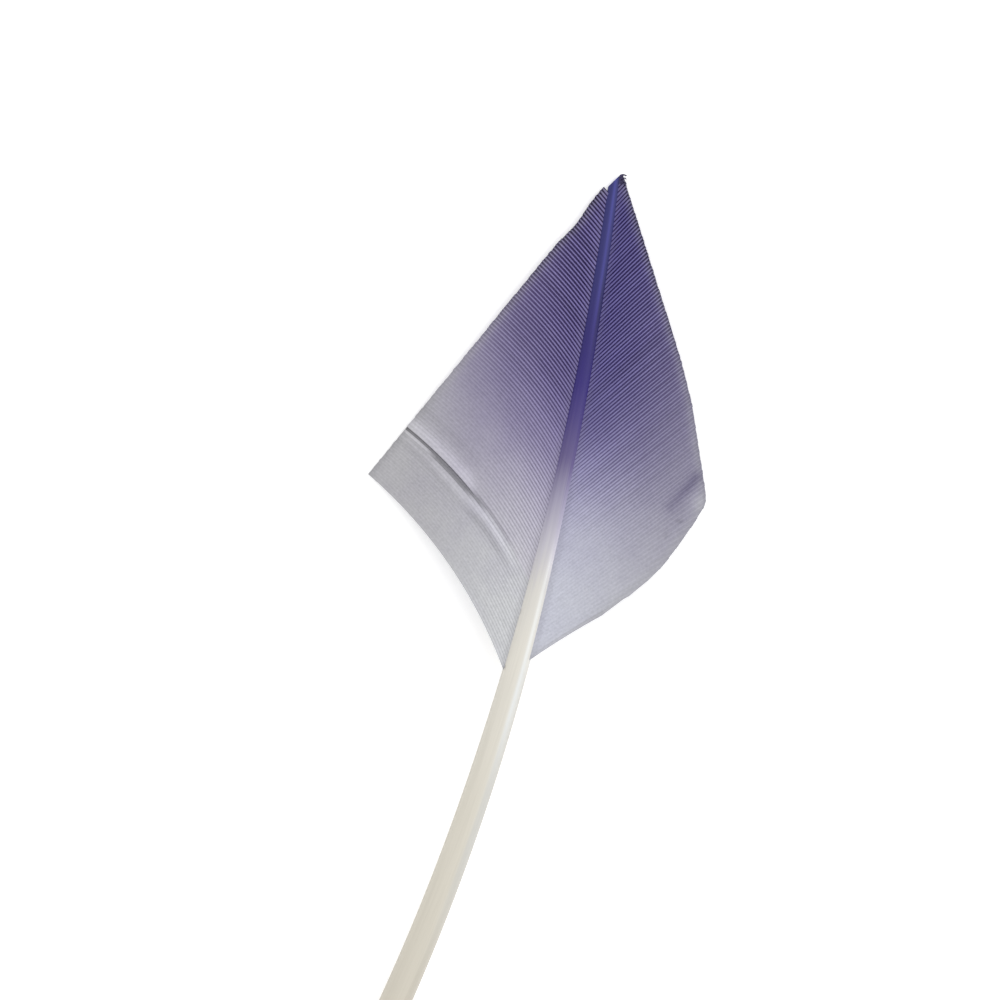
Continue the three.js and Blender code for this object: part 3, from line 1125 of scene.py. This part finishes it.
        self.lay_out(vane)
        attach(vane, "root")
        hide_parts(self.node)
        return vane

    def rings(self, place: Array, length: float, row: Array, rng: np.random.Generator) -> tuple[Array, dict[str, Array]]:
        """Outlines of one barb from root to cut end.

        Args:
            place: Reach of each outline.
            length: Reach of the cut end.
            row: What the barb is like at each outline.
            rng: Source of the small differences between barbs.

        Returns:
            The outlines' points, and what the finish needs to know at each outline.
        """
        x, y, height, gap_after, gap_before, rise, at, away, shade, stain, oblique, rim = row.T
        relief = self.dye.relief(at, away)
        middle = np.stack((x, y, height), axis=1)
        along = np.gradient(middle, axis=0)
        along /= np.linalg.norm(along, axis=1, keepdims=True)
        left = np.stack((-along[:, 1], along[:, 0], rise), axis=1)
        left /= np.linalg.norm(left, axis=1, keepdims=True)
        up = np.cross(along, left)
        up /= np.linalg.norm(up, axis=1, keepdims=True)
        plus, minus = (gap_after, gap_before) if self.law.side is Side.BROAD else (gap_before, gap_after)
        plus, minus = plus / 2 * self.overlap, minus / 2 * self.overlap
        taper = 1 - 0.45 * np.clip(place / 34.0, 0, 1)
        narrow = np.minimum(plus, minus)
        width = np.minimum(self.ramus_half_width * taper * rng.uniform(0.92, 1.08), 0.6 * narrow)
        ridge = self.ramus_height * (0.05 + 0.95 * relief) * taper * (0.15 + 0.85 * smooth(place, 0.0, 1.4))
        keel = np.minimum(self.keel_depth * taper, np.maximum(height - 0.04, 0.03))
        low = np.minimum(0.05, np.maximum(height - 0.02, 0.02))
        step = 0.006 + 0.026 * relief
        side_offsets = np.stack(
            (plus, 1.2 * width, 0.95 * width, 0.5 * width, -0.5 * width, -0.95 * width, -1.2 * width)
            + (-minus, -1.1 * width, -0.5 * width, 0.5 * width, 1.1 * width),
            axis=1,
        )
        up_offsets = np.stack(
            (-step, step, 0.62 * ridge, ridge, ridge, 0.62 * ridge, step)
            + (0.6 * step, -low, -keel, -keel, -low),
            axis=1,
        )
        ring = middle[:, None, :] + side_offsets[..., None] * left[:, None, :] + up_offsets[..., None] * up[:, None, :]
        end_reach = min(self.end_reach, 0.4 + 0.5 * length)
        near_end = np.clip(1 - (length - place) / end_reach, 0, 1)
        shift = np.clip(-side_offsets * oblique[-1], -0.85 * end_reach, 0.85 * end_reach)
        ring = ring + (shift * near_end[:, None])[..., None] * along[:, None, :]
        ring[..., 2] = np.maximum(ring[..., 2], 0.01)
        # Painted shade darkens the barbs within about a millimetre of their roots, beside the shaft; the rim and the
        # cut ends are made darker too
        extra = {
            "dye": self.dye.strength(at, away) * (1 - 0.45 * rim) + stain,
            "outer": np.maximum(smooth(away, self.paler_from, self.paler_to), 0.9 * rim),
            "relief": relief,
            "shade": shade
            - (0.09 + 0.14 * relief) * rim
            - (0.10 + 0.30 * relief) * smooth(place, length - 0.6, length)
            - 0.12 * smooth(-place, -1.2, -0.3),
        }
        return ring, extra

    def lay_out(self, vane: bpy.types.Object) -> None:
        """Adds the map for baking: the vane as seen from above, once for each tissue."""
        mesh = vane.data
        spots = np.empty(len(mesh.vertices) * 3)
        mesh.vertices.foreach_get("co", spots)
        spots = spots.reshape(-1, 3)[:, :2]
        low, high = spots.min(axis=0), spots.max(axis=0)
        corner_vertex = np.empty(len(mesh.loops), dtype=np.int32)
        mesh.loops.foreach_get("vertex_index", corner_vertex)
        sizes = np.empty(len(mesh.polygons), dtype=np.int32)
        mesh.polygons.foreach_get("loop_total", sizes)
        slots = np.empty(len(mesh.polygons), dtype=np.int32)
        mesh.polygons.foreach_get("material_index", slots)
        corner_slot = np.repeat(slots, sizes)
        uv = (spots[corner_vertex] - low) / (high - low) * 0.96 + 0.02
        uv[:, 0] = (uv[:, 0] + corner_slot) / 2
        layer = mesh.uv_layers.new(name=BAKE_MAP)
        layer.uv.foreach_set("vector", uv.astype(np.float32).ravel())


@dataclass
class LooseBarbs:
    """Short curled barbs that the blade left standing where it met the shaft."""

    name: str
    node: str
    slot: str
    spine: Spine
    law: BarbLaw
    finish: BarbFinish
    dye: Dye
    seed: int
    first_at: float
    last_at: float
    count: int
    length: float
    lean: float
    curl: float
    lean_change: float = 0.0
    darkness: float = 0.25
    root_radius: float = 0.12
    end_radius: float = 0.07
    sides: int = 6
    steps: int = 9
    rise: float = 0.25

    def build(self) -> bpy.types.Object:
        """Makes one object with all of the tuft's barbs."""
        rng = np.random.default_rng(self.seed)
        points: list[Array] = []
        faces: list[tuple[int, ...]] = []
        total = 0
        for at in np.linspace(self.first_at, self.last_at, self.count):
            rings = self.barb(at, rng)
            points.append(rings.reshape(-1, 3))
            for r in range(self.steps - 1):
                low, high = total + r * self.sides, total + (r + 1) * self.sides
                for k in range(self.sides):
                    after = (k + 1) % self.sides
                    faces.append((low + k, low + after, high + after, high + k))
            faces.append(tuple(range(total + self.sides - 1, total - 1, -1)))
            end = total + (self.steps - 1) * self.sides
            faces.append(tuple(range(end, end + self.sides)))
            total += self.steps * self.sides
        spots = np.concatenate(points)
        at, away = self.spine.foot(spots[:, :2])
        ends = np.tile(np.repeat(np.linspace(0, 1, self.steps), self.sides), self.count)
        attributes = {
            "dye": self.dye.strength(at, away),
            "outer": np.zeros(len(spots)),
            "relief": np.full(len(spots), 0.4),
            "shade": -self.darkness - 0.30 * ends,
        }
        tuft = mesh_object(
            self.name,
            spots + np.array(TIP_PLACE),
            faces,
            [self.finish.build()],
            np.zeros(len(faces)),
            attributes,
            sharp_degrees=60,
        )
        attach(tuft, "root")
        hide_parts(self.node)
        return tuft

    def barb(self, at: float, rng: np.random.Generator) -> Array:
        """Outlines of one loose barb from its root to its end.

        Args:
            at: Distance of its root from the tip.
            rng: Source of the differences between barbs.

        Returns:
            The points of each outline.
        """
        side = self.law.side.value
        length = self.length * rng.uniform(0.75, 1.15)
        run = np.linspace(0, length, self.steps)
        lean = self.lean + self.lean_change * (at - self.first_at) + rng.normal(0, 7)
        turn = np.radians(lean + (self.curl + rng.normal(0, 12)) * run)
        direction = self.spine.heading(at) - side * turn
        moves = np.diff(run)[:, None] * np.column_stack((np.cos(direction[1:]), np.sin(direction[1:])))
        start = self.spine.point(at) + side * self.spine.flank(at) * self.spine.across(at)
        line = start + np.vstack((np.zeros((1, 2)), np.cumsum(moves, axis=0)))
        height = self.spine.vane_level(at) + self.rise * np.sin(run / length * math.pi * 0.8)
        radius = np.linspace(self.root_radius, self.end_radius, self.steps)
        middle = np.column_stack((line, height))
        along = np.gradient(middle, axis=0)
        along /= np.linalg.norm(along, axis=1, keepdims=True)
        left = np.column_stack((-along[:, 1], along[:, 0], np.zeros(self.steps)))
        left /= np.linalg.norm(left, axis=1, keepdims=True)
        up = np.cross(along, left)
        angle = 2 * math.pi * np.arange(self.sides) / self.sides
        ring = np.cos(angle)[None, :, None] * left[:, None, :] + np.sin(angle)[None, :, None] * up[:, None, :]
        return middle[:, None, :] + radius[:, None, None] * ring


@dataclass
class Studio:
    """A pale table, soft light from the right and a camera that looks straight down."""

    tip_to_centre: tuple[float, float] = (2.443, -61.881)
    view_width: float = 178.57
    view_height: float = 5.0
    roll_degrees: float = 21.71
    lens: float = 250.0
    sensor: float = 36.0
    table_size: float = 12000.0

    def build(self) -> None:
        """Makes the table, the lights and the camera."""
        scene = bpy.context.scene
        scene.view_settings.view_transform = "Standard"
        scene.view_settings.look = "None"
        self.build_table()
        world = bpy.data.worlds.new("studio")
        world.use_nodes = True
        background = world.node_tree.nodes["Background"]
        background.inputs["Color"].default_value = linear("#ffffff")
        background.inputs["Strength"].default_value = 0.87
        scene.world = world
        self.build_light("softbox_right", azimuth=18.0, elevation=52.0, distance=1000.0, size=1200.0, power=3.4)
        self.build_camera()

    def view_centre(self) -> tuple[float, float]:
        """Middle of the picture, in the row's frame."""
        return TIP_PLACE[0] + self.tip_to_centre[0], TIP_PLACE[1] + self.tip_to_centre[1]

    def build_table(self) -> None:
        """Makes the plain pale table top."""
        half = self.table_size / 2 * MM
        mesh = bpy.data.meshes.new("table_top")
        mesh.from_pydata([(-half, -half, 0), (half, -half, 0), (half, half, 0), (-half, half, 0)], [], [(0, 1, 2, 3)])
        material = bpy.data.materials.new("white_card")
        material.use_nodes = True
        shader = material.node_tree.nodes["Principled BSDF"]
        shader.inputs["Base Color"].default_value = linear("#fafafa")
        shader.inputs["Emission Color"].default_value = linear("#ffffff")
        shader.inputs["Emission Strength"].default_value = 0.28
        shader.inputs["Roughness"].default_value = 0.9
        mesh.materials.append(material)
        table = bpy.data.objects.new("table_top", mesh)
        bpy.context.scene.collection.objects.link(table)

    def build_light(
        self, name: str, azimuth: float, elevation: float, distance: float, size: float, power: float
    ) -> None:
        """Makes one soft area light that faces the feather.

        Args:
            name: The light's name.
            azimuth: Direction of the light in plan, in degrees from the picture's right.
            elevation: Angle above the table in degrees.
            distance: Distance from the feather.
            size: Side of the square light.
            power: Power in watts.
        """
        light = bpy.data.lights.new(name, "AREA")
        light.shape = "SQUARE"
        light.size = size * MM
        light.energy = power
        made = bpy.data.objects.new(name, light)
        turn = math.radians(azimuth + self.roll_degrees)
        tilt = math.radians(elevation)
        back = Vector((math.cos(turn) * math.cos(tilt), math.sin(turn) * math.cos(tilt), math.sin(tilt)))
        target = Vector((*self.view_centre(), 0.0)) * MM
        made.location = target + back * distance * MM
        made.rotation_mode = "QUATERNION"
        made.rotation_quaternion = (-back).to_track_quat("-Z", "Y")
        made.visible_camera = False
        bpy.context.scene.collection.objects.link(made)

    def build_camera(self) -> None:
        """Makes the camera, with the roll that puts the feather as in the picture."""
        camera = bpy.data.cameras.new("camera")
        camera.type = "PERSP"
        camera.lens = self.lens
        camera.sensor_width = self.sensor
        camera.clip_start = 0.05
        camera.clip_end = 20.0
        made = bpy.data.objects.new("camera", camera)
        distance = self.view_width * self.lens / self.sensor
        made.location = Vector((*self.view_centre(), self.view_height + distance)) * MM
        made.rotation_euler = (0.0, 0.0, math.radians(self.roll_degrees))
        bpy.context.scene.collection.objects.link(made)
        bpy.context.scene.camera = made


def barb_finishes(prefix: str, undyed: str, undyed_outer: str, ink: str) -> tuple[BarbFinish, BarbFinish]:
    """Finishes of the rami and of the web between them.

    Args:
        prefix: Start of the materials' names.
        undyed: Colour near the shaft where there is no dye.
        undyed_outer: Colour near the cut edge where there is no dye.
        ink: Colour of light that passed one layer of dye.

    Returns:
        The finishes in the order of Tissue.
    """
    ramus = BarbFinish(
        name=prefix + "_ramus_keratin",
        undyed=undyed,
        undyed_outer=undyed_outer,
        ink=ink,
        own_ink="#70689b",
        painted_light_gain=0.85,
        roughness=0.5,
        specular=0.4,
    )
    web = BarbFinish(
        name=prefix + "_barbule_web",
        undyed=undyed,
        undyed_outer=undyed_outer,
        ink=ink,
        own_ink="#6b57a5",
        painted_light_gain=-0.60,
        roughness=0.68,
        specular=0.10,
    )
    return ramus, web


def main() -> None:
    """Builds the feather and its studio."""
    logging.basicConfig(level=logging.INFO, format="%(message)s")
    spine = Spine()
    broad_upper = barb_finishes("broad_upper", "#c2c1c6", "#aeadb2", "#71659b")
    broad_lower = barb_finishes("broad_lower", "#c2c3c6", "#aeadb1", "#71659b")
    narrow = barb_finishes("narrow", "#c1c3ce", "#aeaeb4", "#706792")
    pieces = [
        QuillShaft(spine).build(),
        Vane(
            name="broad_vane_upper_barbs",
            node="broad_vane_upper",
            slot="dyed_barbs",
            spine=spine,
            law=BROAD_LAW,
            first_at=2.6,
            last_at=73.9,
            seed=11,
            finishes=broad_upper,
            dye=BROAD_DYE,
            lip_at_end=True,
        ).build(),
        Vane(
            name="broad_vane_lower_barbs",
            node="broad_vane_lower",
            slot="pale_barbs",
            spine=spine,
            law=BROAD_LAW,
            first_at=74.6,
            last_at=90.3,
            seed=12,
            finishes=broad_lower,
            dye=BROAD_DYE,
            lip_at_start=True,
        ).build(),
        Vane(
            name="narrow_vane_barbs",
            node="narrow_vane",
            slot="dyed_barbs",
            spine=spine,
            law=NARROW_LAW,
            first_at=0.6,
            last_at=87.4,
            seed=13,
            finishes=narrow,
            dye=NARROW_DYE,
            paler_from=0.0,
            paler_to=22.0,
            foot_rim=0.4,
        ).build(),
        LooseBarbs(
            name="narrow_vane_tip_tuft",
            node="narrow_vane",
            slot="dyed_barbs",
            spine=spine,
            law=NARROW_LAW,
            finish=narrow[0],
            dye=NARROW_DYE,
            seed=20,
            first_at=0.25,
            last_at=1.7,
            count=8,
            length=1.5,
            lean=12.0,
            lean_change=22.0,
            curl=68.0,
            darkness=0.38,
            root_radius=0.10,
            end_radius=0.085,
        ).build(),
        LooseBarbs(
            name="broad_vane_foot_stub",
            node="broad_vane_lower",
            slot="pale_barbs",
            spine=spine,
            law=BROAD_LAW,
            finish=broad_lower[0],
            dye=BROAD_DYE,
            seed=15,
            first_at=90.3,
            last_at=90.3,
            count=1,
            length=0.6,
            lean=168.0,
            curl=0.0,
            darkness=0.30,
        ).build(),
    ]
    for piece in pieces:
        log.info("%s: %d vertices, %d faces", piece.name, len(piece.data.vertices), len(piece.data.polygons))
    Studio().build()


if __name__ == "__main__":
    main()
